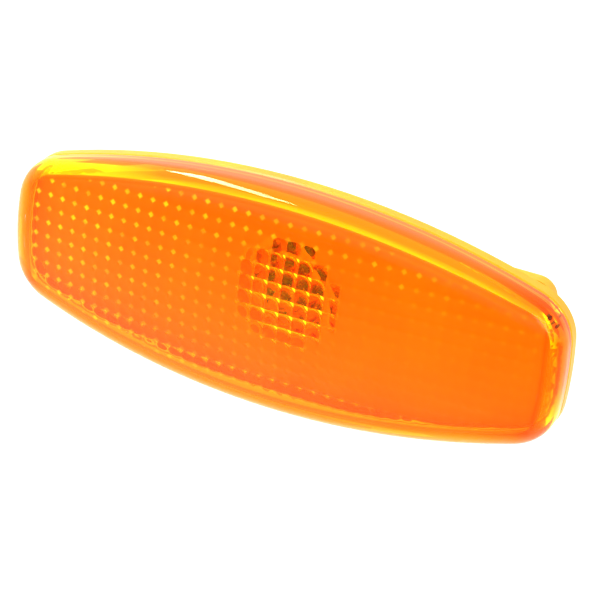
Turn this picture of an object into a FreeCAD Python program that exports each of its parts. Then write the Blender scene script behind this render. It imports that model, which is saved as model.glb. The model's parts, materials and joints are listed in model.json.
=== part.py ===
import FreeCAD, Part
import math
import os
import Sketcher
from FreeCAD import Vector

# Side marker lamp, in millimetres.
# X runs along the lamp, Z is up, and the lens faces -Y.
# The origin is the middle of the face that rests on the body panel, which is the plane Y = 0.

# Driving dimensions
SIZES = (
    # Outline of lens and rim, a barrel of four arcs with rounded corners
    ("lens_length", 100.0),
    ("lens_height", 40.0),
    ("long_edge_radius", 146.0),
    ("end_edge_radius", 72.0),
    ("corner_radius", 8.5),
    # Lens section
    ("lens_depth", 8.4),
    ("crown_length_radius", 350.0),
    ("crown_height_radius", 72.0),
    ("shoulder_radius", 3.6),
    ("lens_wall", 2.0),
    ("side_wall", 2.3),
    ("optic_margin", 3.4),
    ("pillow_pitch", 2.5),
    ("pillow_radius", 8.0),
    ("seam_chamfer", 0.3),
    # Tongue on the lens, which is welded into a groove of the housing
    ("tongue_margin", 0.7),
    ("tongue_width", 0.7),
    ("tongue_height", 0.9),
    ("tongue_clearance", 0.1),
    # Housing rim and floor
    ("rim_thickness", 2.6),
    ("rim_bevel", 0.5),
    ("floor_thickness", 1.6),
    # Gasket in the back of the rim
    ("gasket_proud", 0.8),
    ("gasket_seat", 0.7),
    ("gasket_margin", 1.4),
    ("gasket_width", 2.2),
    ("gasket_clearance", 0.1),
    # Collar behind the rim, which locates in the panel's cut-out
    ("collar_length", 72.0),
    ("collar_height", 22.0),
    ("collar_wall", 1.8),
    ("collar_corner", 4.0),
    ("collar_reach", 5.6),
    ("rib_wall", 1.4),
    ("rib_reach", 3.8),
    ("rib_place", 23.0),
    # Hook at one end and spring clip at the other, both behind the panel
    ("panel_gap", 2.1),
    ("hook_tip", 44.2),
    ("hook_width", 24.4),
    ("hook_thickness", 2.9),
    ("hook_corner", 3.4),
    ("hook_rounding", 0.9),
    ("clip_width", 14.0),
    ("clip_reach", 10.0),
    ("clip_wall", 1.6),
    ("clip_gap", 1.6),
    ("clip_spread", 2.2),
    ("clip_catch", 1.8),
    # Bulb well and its twist-lock mouth
    ("well_radius", 8.2),
    ("well_wall", 1.8),
    ("well_reach", 12.6),
    ("mouth_wall", 2.0),
    ("mouth_radius", 6.8),
    ("notch_width", 3.4),
    # Bulb holder
    ("holder_clearance", 0.3),
    ("lug_thickness", 1.8),
    ("nose_length", 1.0),
    ("seal_thickness", 1.6),
    ("seal_width", 1.4),
    ("seal_bevel", 0.4),
    ("flange_radius", 10.1),
    ("flange_thickness", 1.8),
    ("flange_bevel", 0.4),
    ("grip_width", 6.0),
    ("grip_wall", 2.0),
    ("grip_place", 8.1),
    ("grip_length", 4.2),
    ("socket_width", 12.4),
    ("socket_height", 8.8),
    ("socket_wall", 1.0),
    ("socket_corner", 1.2),
    ("socket_length", 8.6),
    ("plug_depth", 6.0),
    ("latch_width", 4.0),
    ("latch_height", 0.9),
    ("latch_length", 3.0),
    # Contacts
    ("contact_place", 2.4),
    ("contact_width", 2.3),
    ("contact_sheet", 0.5),
    ("contact_bow", 0.35),
    ("contact_flare", 0.7),
    ("contact_clearance", 0.05),
    ("chamber_clearance", 0.2),
    ("blade_length", 4.8),
    # Wedge-base bulb
    ("bulb_tip", 7.4),
    ("bulb_radius", 4.9),
    ("bulb_round_length", 12.6),
    ("pinch_length", 5.4),
    ("wedge_length", 5.9),
    ("wedge_thickness", 2.5),
    ("glass_wall", 0.7),
    ("bulb_clearance", 0.3),
    ("wire_radius", 0.25),
    ("wire_fold", 3.8),
    ("filament_depth", 6.9),
    ("filament_radius", 0.2),
)

doc = FreeCAD.newDocument("SideMarkerLamp")
sheet = doc.addObject("Spreadsheet::Sheet", "Sizes")
for row, (alias, value) in enumerate(SIZES, start=1):
    sheet.set(f"A{row}", alias)
    sheet.set(f"B{row}", str(value))
    sheet.setAlias(f"B{row}", alias)
doc.recompute()

# Planes across the lamp, each as a distance in front of the panel face, so those behind it are negative
REAR = "Sizes.gasket_proud"
JOINT = "(Sizes.gasket_proud + Sizes.rim_thickness)"
FRONT = f"({JOINT} + Sizes.lens_depth)"
PANEL_BACK = "(-Sizes.panel_gap)"
WELL_END = "(-Sizes.well_reach)"
MOUTH_FRONT = f"({WELL_END} + Sizes.mouth_wall)"
LUG_BACK = f"({MOUTH_FRONT} + Sizes.holder_clearance)"
NOSE = f"({LUG_BACK} + Sizes.lug_thickness + Sizes.nose_length)"
FLANGE_FRONT = f"({WELL_END} - Sizes.seal_thickness)"
FLANGE_BACK = f"({FLANGE_FRONT} - Sizes.flange_thickness)"
SOCKET_END = f"({FLANGE_BACK} - Sizes.socket_length)"
SOCKET_FLOOR = f"({SOCKET_END} + Sizes.plug_depth)"
NECK = "(Sizes.bulb_tip - Sizes.bulb_round_length)"
WEDGE_TOP = f"({NECK} - Sizes.pinch_length)"
WEDGE_END = f"({WEDGE_TOP} - Sizes.wedge_length)"
WIRE_LINE = "(Sizes.wedge_thickness / 2 + Sizes.wire_radius)"
WIRE_END = f"({WEDGE_END} - {WIRE_LINE} / 2 - Sizes.wire_radius)"
SLOT_FLOOR = f"({WIRE_END} - Sizes.bulb_clearance)"
CONTACT_LINE = f"({WIRE_LINE} + Sizes.wire_radius + Sizes.contact_clearance)"
FILAMENT = "(Sizes.bulb_tip - Sizes.filament_depth)"


def number(expression):
    """Value of an expression on the sheet."""
    return float(sheet.evalExpression(expression))


# Sketch helpers


def new_body(name):
    """Empty body."""
    return doc.addObject("PartDesign::Body", name)


def origin_item(body, role):
    """Origin plane or axis of a body."""
    return next(item for item in body.Origin.OriginFeatures if item.Role == role)


def new_sketch(body, name, plane, offset="0"):
    """Sketch on an origin plane of the body, moved along the plane's normal."""
    sketch = body.newObject("Sketcher::SketchObject", name)
    sketch.AttachmentSupport = [(origin_item(body, plane), "")]
    sketch.MapMode = "FlatFace"
    sketch.setExpression("AttachmentOffset.Base.z", offset)
    return sketch


def cross_sketch(body, name, distance):
    """Sketch across the lamp, at a distance in front of the panel face."""
    return new_sketch(body, name, "XZ_Plane", distance)


def bind(sketch, expression, *constraint):
    """Adds a dimension and binds it to an expression."""
    index = sketch.addConstraint(Sketcher.Constraint(*constraint, number(expression)))
    sketch.setExpression(f"Constraints[{index}]", expression)


def place(sketch, curve, point, across, along):
    """Fixes a point of a curve at two signed distances from the sketch's origin."""
    for kind, axis, expression in (("DistanceX", -2, across), ("DistanceY", -1, along)):
        value = number(expression)
        if abs(value) < 1e-9:
            sketch.addConstraint(Sketcher.Constraint("PointOnObject", curve, point, axis))
        elif value > 0:
            bind(sketch, expression, kind, -1, 1, curve, point)
        else:
            bind(sketch, f"-({expression})", kind, curve, point, -1, 1)


def add_polygon(sketch, points):
    """Closed straight-sided outline through points given as pairs of expressions."""
    corners = [Vector(number(x), number(y), 0) for x, y in points]
    lines = []
    for start, end in zip(corners, corners[1:] + corners[:1]):
        lines.append(sketch.addGeometry(Part.LineSegment(start, end)))
    for line, following in zip(lines, lines[1:] + lines[:1]):
        sketch.addConstraint(Sketcher.Constraint("Coincident", line, 2, following, 1))
    for line, (x, y) in zip(lines, points):
        place(sketch, line, 1, x, y)
    return lines


def add_rectangle(sketch, left, right, low, high):
    """Rectangle between four expressions."""
    return add_polygon(sketch, [(left, low), (right, low), (right, high), (left, high)])


def add_circle(sketch, radius, across="0", along="0"):
    """Circle at a point of the sketch."""
    centre = Vector(number(across), number(along), 0)
    circle = sketch.addGeometry(Part.Circle(centre, Vector(0, 0, 1), number(radius)))
    place(sketch, circle, 3, across, along)
    bind(sketch, radius, "Radius", circle)


def add_rounded_rectangle(sketch, left, right, low, high, radius):
    """Rectangle with four equal rounded corners."""
    x0, x1, y0, y1, r = (number(e) for e in (left, right, low, high, radius))
    straight = [
        ((x0 + r, y0), (x1 - r, y0)),
        ((x1, y0 + r), (x1, y1 - r)),
        ((x1 - r, y1), (x0 + r, y1)),
        ((x0, y1 - r), (x0, y0 + r)),
    ]
    centres = [(x1 - r, y0 + r), (x1 - r, y1 - r), (x0 + r, y1 - r), (x0 + r, y0 + r)]
    sides = []
    corners = []
    for turn, ((start, end), centre) in enumerate(zip(straight, centres)):
        sides.append(sketch.addGeometry(Part.LineSegment(Vector(*start, 0), Vector(*end, 0))))
        circle = Part.Circle(Vector(*centre, 0), Vector(0, 0, 1), r)
        first = (turn - 1) * math.pi / 2
        corners.append(sketch.addGeometry(Part.ArcOfCircle(circle, first, first + math.pi / 2)))
    for side, corner, following in zip(sides, corners, sides[1:] + sides[:1]):
        sketch.addConstraint(Sketcher.Constraint("Tangent", side, 2, corner, 1))
        sketch.addConstraint(Sketcher.Constraint("Tangent", corner, 2, following, 1))
    for side in sides[0::2]:
        sketch.addConstraint(Sketcher.Constraint("Horizontal", side))
    for side in sides[1::2]:
        sketch.addConstraint(Sketcher.Constraint("Vertical", side))
    for corner in corners[1:]:
        sketch.addConstraint(Sketcher.Constraint("Equal", corners[0], corner))
    bind(sketch, radius, "Radius", corners[0])
    for side, kind, expression in (
        (sides[0], "DistanceY", low),
        (sides[1], "DistanceX", right),
        (sides[2], "DistanceY", high),
        (sides[3], "DistanceX", left),
    ):
        if number(expression) > 0:
            bind(sketch, expression, kind, -1, 1, side, 1)
        else:
            bind(sketch, f"-({expression})", kind, side, 1, -1, 1)


def add_barrel(sketch, inset):
    """Barrel outline of the lamp, moved inwards: long arcs, end arcs and tangent corner arcs."""
    half_length = f"Sizes.lens_length / 2 - ({inset})"
    half_height = f"Sizes.lens_height / 2 - ({inset})"
    radii = [f"{name} - ({inset})" for name in
             ("Sizes.end_edge_radius", "Sizes.long_edge_radius", "Sizes.corner_radius")]
    end_radius, long_radius, corner_radius = (number(radius) for radius in radii)

    # Middles of the right end arc, the upper long arc and the corner arc that touches both
    end_middle = Vector(number(half_length) - end_radius, 0, 0)
    long_middle = Vector(0, number(half_height) - long_radius, 0)
    span = long_middle - end_middle
    reach = end_radius - corner_radius
    along = (reach**2 - (long_radius - corner_radius)**2 + span.Length**2) / (2 * span.Length)
    aside = math.sqrt(reach**2 - along**2)
    direction = span / span.Length
    corner_middle = end_middle + direction * along + Vector(-direction.y, direction.x, 0) * aside
    end_ray = corner_middle - end_middle
    long_ray = corner_middle - long_middle
    end_angle = math.atan2(end_ray.y, end_ray.x)
    long_angle = math.atan2(long_ray.y, long_ray.x)

    def arc(middle, radius, first, last):
        circle = Part.Circle(middle, Vector(0, 0, 1), radius)
        return sketch.addGeometry(Part.ArcOfCircle(circle, first, last))

    arcs = []
    for half_turn in (0, math.pi):
        sign = math.cos(half_turn)
        flipped = Vector(-sign * corner_middle.x, sign * corner_middle.y, 0)
        arcs.append(arc(end_middle * sign, end_radius, half_turn - end_angle, half_turn + end_angle))
        arcs.append(arc(corner_middle * sign, corner_radius, half_turn + end_angle, half_turn + long_angle))
        arcs.append(arc(long_middle * sign, long_radius, half_turn + long_angle,
                        half_turn + math.pi - long_angle))
        arcs.append(arc(flipped, corner_radius, half_turn + math.pi - long_angle,
                        half_turn + math.pi - end_angle))
    for current, following in zip(arcs, arcs[1:] + arcs[:1]):
        sketch.addConstraint(Sketcher.Constraint("Tangent", current, 2, following, 1))
    right, corner, upper, _, left, _, lower, _ = arcs
    for curve, radius in zip((right, upper, corner), radii):
        bind(sketch, radius, "Radius", curve)
    for first, second in ((right, left), (upper, lower), (corner, arcs[3]), (corner, arcs[5]), (corner, arcs[7])):
        sketch.addConstraint(Sketcher.Constraint("Equal", first, second))
    for first, second in ((right, left), (upper, lower)):
        sketch.addConstraint(Sketcher.Constraint("Symmetric", first, 3, second, 3, -1, 1))
    for curve, axis, across, high in ((right, -1, half_length, "0"), (upper, -2, "0", half_height)):
        peak = sketch.addGeometry(Part.Point(Vector(number(across), number(high), 0)), True)
        sketch.addConstraint(Sketcher.Constraint("PointOnObject", curve, 3, axis))
        sketch.addConstraint(Sketcher.Constraint("PointOnObject", peak, 1, curve))
        place(sketch, peak, 1, across, high)


def barrel_ring(sketch, inset, width):
    """Band between the barrel outline at an inset and the one a width further in."""
    add_barrel(sketch, inset)
    add_barrel(sketch, f"{inset} + {width}")


# Feature helpers


def finish(feature, body):
    """Recomputes and moves the body's tip to the feature."""
    doc.recompute()
    body.Tip = feature
    return feature


def add_pad(body, sketch, length, to_front=True, both_ways=False):
    """Raises a sketch, towards its normal or away from it."""
    feature = body.newObject("PartDesign::Pad", f"{sketch.Name}Pad")
    feature.Profile = sketch
    feature.setExpression("Length", length)
    feature.Reversed = not to_front
    if both_ways:
        feature.SideType = "Symmetric"
    return finish(feature, body)


def add_pocket(body, sketch, length, to_front=False, both_ways=False):
    """Cuts a sketch into the solid and makes sure that it took something away."""
    before = body.Shape.Volume
    feature = body.newObject("PartDesign::Pocket", f"{sketch.Name}Pocket")
    feature.Profile = sketch
    feature.setExpression("Length", length)
    feature.Reversed = to_front
    if both_ways:
        feature.SideType = "Symmetric"
    finish(feature, body)
    if body.Shape.Volume >= before:
        raise RuntimeError(f"{feature.Name} cuts nothing")
    return feature


def edge_names(shape, wanted):
    """Names of the edges that a test picks."""
    return [f"Edge{index}" for index, edge in enumerate(shape.Edges, start=1) if wanted(edge)]


def in_plane(edge, distance):
    """Whether an edge lies across the lamp at a distance in front of the panel face."""
    box = edge.BoundBox
    level = -number(distance)
    return abs(box.YMin - level) < 1e-4 and abs(box.YMax - level) < 1e-4


def round_edges(body, name, radius, wanted, kind="Fillet"):
    """Rounds or bevels the edges that a test picks."""
    base = body.Tip
    feature = body.newObject(f"PartDesign::{kind}", name)
    feature.Base = (base, edge_names(base.Shape, wanted))
    feature.setExpression("Radius" if kind == "Fillet" else "Size", radius)
    return finish(feature, body)


def add_polar(body, original, name, count):
    """Repeats a feature round the bulb's axis."""
    pattern = body.newObject("PartDesign::PolarPattern", name)
    pattern.Originals = [original]
    pattern.Axis = (origin_item(body, "Y_Axis"), [""])
    pattern.Angle = 360
    pattern.Occurrences = count
    return finish(pattern, body)


# Lens


def lens_form():
    """Outer form of the lens: barrel prism, crowned front, rounded shoulder and weld tongue."""
    body = new_body("LensForm")
    outline = cross_sketch(body, "LensOutline", JOINT)
    add_barrel(outline, "0")
    add_pad(body, outline, "Sizes.lens_depth + Sizes.lens_wall")

    # Everything in front of a barrel-shaped crown goes: an arc along the lamp, turned round a line behind it
    crown = new_sketch(body, "LensCrown", "XY_Plane")
    half_span = "Sizes.lens_length / 2 + Sizes.shoulder_radius"
    radius = number("Sizes.crown_length_radius")
    middle = Vector(0, radius - number(FRONT), 0)
    sweep = math.asin(number(half_span) / radius)
    circle = Part.Circle(middle, Vector(0, 0, 1), radius)
    arc = crown.addGeometry(Part.ArcOfCircle(circle, -math.pi / 2 - sweep, -math.pi / 2 + sweep))
    shallow = middle.y - radius * math.cos(sweep)
    far = f"-({FRONT} + Sizes.lens_height / 2)"
    left = Vector(-number(half_span), number(far), 0)
    right = Vector(number(half_span), number(far), 0)
    right_side = crown.addGeometry(Part.LineSegment(Vector(right.x, shallow, 0), right))
    far_side = crown.addGeometry(Part.LineSegment(right, left))
    left_side = crown.addGeometry(Part.LineSegment(left, Vector(left.x, shallow, 0)))
    chain = (arc, right_side, far_side, left_side)
    for current, following in zip(chain, chain[1:] + chain[:1]):
        crown.addConstraint(Sketcher.Constraint("Coincident", current, 2, following, 1))
    for side in (right_side, left_side):
        crown.addConstraint(Sketcher.Constraint("Vertical", side))
    place(crown, far_side, 1, half_span, far)
    place(crown, far_side, 2, f"-({half_span})", far)
    peak = crown.addGeometry(Part.Point(Vector(0, -number(FRONT), 0)), True)
    place(crown, peak, 1, "0", f"-{FRONT}")
    crown.addConstraint(Sketcher.Constraint("PointOnObject", peak, 1, arc))
    crown.addConstraint(Sketcher.Constraint("PointOnObject", arc, 3, -2))
    bind(crown, "Sizes.crown_length_radius", "Radius", arc)
    hinge_line = f"Sizes.crown_height_radius - {FRONT}"
    hinge_ends = [Vector(x, number(hinge_line), 0) for x in (left.x, right.x)]
    hinge = crown.addGeometry(Part.LineSegment(*hinge_ends), True)
    place(crown, hinge, 1, f"-({half_span})", hinge_line)
    place(crown, hinge, 2, half_span, hinge_line)
    groove = body.newObject("PartDesign::Groove", "LensCrownGroove")
    groove.Profile = crown
    groove.ReferenceAxis = (crown, ["Axis0"])
    groove.Midplane = True
    groove.Angle = 120
    finish(groove, body)

    joint_level = -number(JOINT)
    rim_zone = number("Sizes.seam_chamfer")
    round_edges(body, "LensShoulder", "Sizes.shoulder_radius",
                lambda edge: edge.BoundBox.YMax < joint_level - rim_zone)
    round_edges(body, "LensSeam", "Sizes.seam_chamfer",
                lambda edge: in_plane(edge, JOINT), kind="Chamfer")
    tongue = cross_sketch(body, "LensTongue", JOINT)
    barrel_ring(tongue, "Sizes.tongue_margin", "Sizes.tongue_width")
    add_pad(body, tongue, "Sizes.tongue_height", to_front=False)
    return body


def lens_hollow():
    """Drafted space inside the lens, wide at the joint and narrower at the optics."""
    body = new_body("LensHollow")
    wide = cross_sketch(body, "HollowJoint", JOINT)
    add_barrel(wide, "Sizes.side_wall")
    narrow = cross_sketch(body, "HollowFront", FRONT)
    add_barrel(narrow, "Sizes.optic_margin")
    loft = body.newObject("PartDesign::AdditiveLoft", "HollowLoft")
    loft.Profile = wide
    loft.Sections = [narrow]
    loft.Ruled = True
    finish(loft, body)
    return body


def pillow_block():
    """Block whose front is the optics: each pillow is the crown plus one parabolic swell each way."""
    pitch = number("Sizes.pillow_pitch")
    swell = pitch**2 / (8 * number("Sizes.pillow_radius"))
    columns = math.ceil((number("Sizes.lens_length") / 2 - number("Sizes.optic_margin")) / pitch)
    rows = math.ceil((number("Sizes.lens_height") / 2 - number("Sizes.optic_margin")) / pitch)
    valley = number("Sizes.lens_wall") - number(FRONT)
    base = number("Sizes.tongue_height") - number(JOINT)

    def section(index, crown_radius):
        """Places and heights of the three control points of one pillow's section."""
        low = index * pitch
        high = low + pitch
        middle = low + pitch / 2
        start = low**2 / (2 * crown_radius)
        end = high**2 / (2 * crown_radius)
        top = middle**2 / (2 * crown_radius) + swell
        return (low, middle, high), (start, 2 * top - (start + end) / 2, end)

    across = [section(i, number("Sizes.crown_length_radius")) for i in range(-columns, columns)]
    upward = [section(k, number("Sizes.crown_height_radius")) for k in range(-rows, rows)]

    def pillow(x_section, z_section):
        """One pillow, a patch of second degree both ways."""
        patch = Part.BezierSurface()
        patch.increase(2, 2)
        for i, (x, rise) in enumerate(zip(*x_section), start=1):
            for k, (z, lift) in enumerate(zip(*z_section), start=1):
                patch.setPole(i, k, Vector(x, valley + rise + lift, z))
        return patch.toBSpline().toShape()

    def side(points_of, sections):
        """Flat end of the block under a row of valleys."""
        edges = []
        for cell in sections:
            curve = Part.BezierCurve()
            curve.setPoles([points_of(*point) for point in zip(*cell)])
            edges.append(curve.toShape())
        first = edges[0].Vertexes[0].Point
        last = edges[-1].Vertexes[-1].Point
        under_first = Vector(first.x, base, first.z)
        under_last = Vector(last.x, base, last.z)
        edges.append(Part.makeLine(last, under_last))
        edges.append(Part.makeLine(under_last, under_first))
        edges.append(Part.makeLine(under_first, first))
        return Part.Face(Part.Wire(edges))

    faces = [pillow(x_section, z_section) for x_section in across for z_section in upward]
    x_end = columns * pitch
    z_end = rows * pitch
    x_rise = valley + x_end**2 / (2 * number("Sizes.crown_length_radius"))
    z_rise = valley + z_end**2 / (2 * number("Sizes.crown_height_radius"))
    for sign in (-1, 1):
        faces.append(side(lambda z, lift: Vector(sign * x_end, x_rise + lift, z), upward))
        faces.append(side(lambda x, rise: Vector(x, z_rise + rise, sign * z_end), across))
    corners = [Vector(x, base, z) for x, z in
               ((-x_end, -z_end), (x_end, -z_end), (x_end, z_end), (-x_end, z_end))]
    faces.append(Part.Face(Part.makePolygon(corners + corners[:1])))
    skin = Part.makeCompound(faces)
    skin.sewShape()
    solid = Part.makeSolid(skin.Shells[0])
    if solid.Volume < 0:
        solid.reverse()
    block = doc.addObject("Part::Feature", "PillowBlock")
    block.Shape = solid
    block.Placement = FreeCAD.Placement()
    return block


def make_lens():
    """Lens: the outer form less the hollow that ends at the pillows."""
    core = doc.addObject("Part::Common", "LensCore")
    core.Base = lens_hollow()
    core.Tool = pillow_block()
    lens = doc.addObject("Part::Cut", "Lens")
    lens.Base = lens_form()
    lens.Tool = core
    lens.Refine = False
    doc.recompute()
    return lens


# Housing


def make_housing():
    """Housing: rim and floor, collar, ribs, hook, spring clip and bulb well, moulded in one piece."""
    body = new_body("Housing")
    rim = cross_sketch(body, "RimOutline", REAR)
    add_barrel(rim, "0")
    add_pad(body, rim, "Sizes.rim_thickness")
    round_edges(body, "RimSeam", "Sizes.seam_chamfer", lambda edge: in_plane(edge, JOINT), kind="Chamfer")
    round_edges(body, "RimBack", "Sizes.rim_bevel", lambda edge: in_plane(edge, REAR), kind="Chamfer")

    # Collar, ribs and well stand on the back of the floor
    half_length = "Sizes.collar_length / 2"
    half_height = "Sizes.collar_height / 2"
    collar = cross_sketch(body, "Collar", REAR)
    add_rounded_rectangle(collar, f"-{half_length}", half_length, f"-{half_height}", half_height,
                          "Sizes.collar_corner")
    inner_length = f"({half_length} - Sizes.collar_wall)"
    inner_height = f"({half_height} - Sizes.collar_wall)"
    add_rounded_rectangle(collar, f"-{inner_length}", inner_length, f"-{inner_height}", inner_height,
                          "Sizes.collar_corner - Sizes.collar_wall")
    add_pad(body, collar, f"Sizes.collar_reach + {REAR}", to_front=False)
    overlap = "Sizes.collar_wall / 2"
    long_rib = cross_sketch(body, "LongRib", REAR)
    add_rectangle(long_rib, f"-({inner_length} + {overlap})", f"{inner_length} + {overlap}",
                  "-Sizes.rib_wall / 2", "Sizes.rib_wall / 2")
    add_pad(body, long_rib, f"Sizes.rib_reach + {REAR}", to_front=False)
    cross_ribs = cross_sketch(body, "CrossRibs", REAR)
    for sign in ("-", ""):
        middle = f"{sign}Sizes.rib_place"
        add_rectangle(cross_ribs, f"{middle} - Sizes.rib_wall / 2", f"{middle} + Sizes.rib_wall / 2",
                      f"-({inner_height} + {overlap})", f"{inner_height} + {overlap}")
    add_pad(body, cross_ribs, f"Sizes.rib_reach + {REAR}", to_front=False)
    well = cross_sketch(body, "WellOutside", REAR)
    add_circle(well, "Sizes.well_radius + Sizes.well_wall")
    add_pad(body, well, f"Sizes.well_reach + {REAR}", to_front=False)

    # Hook: a rounded lip past the collar's end that goes behind the panel first
    hook = cross_sketch(body, "Hook", PANEL_BACK)
    add_rectangle(hook, inner_length, "Sizes.hook_tip", "-Sizes.hook_width / 2", "Sizes.hook_width / 2")
    add_pad(body, hook, "Sizes.hook_thickness", to_front=False)
    tip = number("Sizes.hook_tip")
    round_edges(body, "HookCorners", "Sizes.hook_corner",
                lambda edge: edge.BoundBox.XMin > tip - 1e-4 and edge.BoundBox.ZLength < 1e-4)
    hook_back = f"({PANEL_BACK} - Sizes.hook_thickness)"
    past_collar = number(half_length) + 1e-4
    round_edges(body, "HookBack", "Sizes.hook_rounding",
                lambda edge: in_plane(edge, hook_back) and edge.BoundBox.XMax > past_collar)

    # Spring clip: a hairpin from the collar's other end, with a ramp and a catch face behind the panel
    clip = new_sketch(body, "Clip", "XY_Plane")
    leg = f"({half_length} + Sizes.clip_gap)"
    bend = "(Sizes.clip_reach - Sizes.clip_wall)"
    add_polygon(clip, [
        (f"-{inner_length}", "Sizes.rib_reach"),
        (f"-{half_length}", "Sizes.rib_reach"),
        (f"-{half_length}", bend),
        (f"-{leg}", bend),
        (f"-({leg} + Sizes.clip_spread)", "Sizes.panel_gap"),
        (f"-({leg} + Sizes.clip_spread + Sizes.clip_catch)", "Sizes.panel_gap"),
        (f"-({leg} + Sizes.clip_wall)", "Sizes.clip_reach"),
        (f"-{inner_length}", "Sizes.clip_reach"),
    ])
    add_pad(body, clip, "Sizes.clip_width", both_ways=True)

    # Recess in front of the floor, weld groove, gasket seat
    recess = cross_sketch(body, "Recess", JOINT)
    add_barrel(recess, "Sizes.side_wall")
    add_pocket(body, recess, "Sizes.rim_thickness - Sizes.floor_thickness")
    groove = cross_sketch(body, "WeldGroove", JOINT)
    barrel_ring(groove, "Sizes.tongue_margin - Sizes.tongue_clearance",
                "Sizes.tongue_width + 2 * Sizes.tongue_clearance")
    add_pocket(body, groove, "Sizes.tongue_height + Sizes.tongue_clearance")
    seat = cross_sketch(body, "GasketSeat", REAR)
    barrel_ring(seat, "Sizes.gasket_margin", "Sizes.gasket_width + 2 * Sizes.gasket_clearance")
    add_pocket(body, seat, "Sizes.gasket_seat", to_front=True)

    # Bulb well, with a lipped mouth and three notches for the holder's lugs
    bore = cross_sketch(body, "WellBore", JOINT)
    add_circle(bore, "Sizes.well_radius")
    add_pocket(body, bore, f"{JOINT} - {MOUTH_FRONT}")
    mouth = cross_sketch(body, "WellMouth", MOUTH_FRONT)
    add_circle(mouth, "Sizes.mouth_radius")
    add_pocket(body, mouth, "Sizes.mouth_wall")
    notch = cross_sketch(body, "WellNotch", MOUTH_FRONT)
    add_rectangle(notch, "-Sizes.notch_width / 2", "Sizes.notch_width / 2",
                  "Sizes.mouth_radius / 2", "Sizes.well_radius")
    first_notch = add_pocket(body, notch, "Sizes.mouth_wall")
    add_polar(body, first_notch, "WellNotches", 3)
    return body


def make_gasket():
    """Foam ring that sits in the back of the rim and stands proud of it."""
    body = new_body("FenderGasket")
    ring = cross_sketch(body, "GasketRing", "0")
    barrel_ring(ring, "Sizes.gasket_margin + Sizes.gasket_clearance", "Sizes.gasket_width")
    add_pad(body, ring, "Sizes.gasket_proud + Sizes.gasket_seat")
    return body


# Bulb holder


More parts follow.
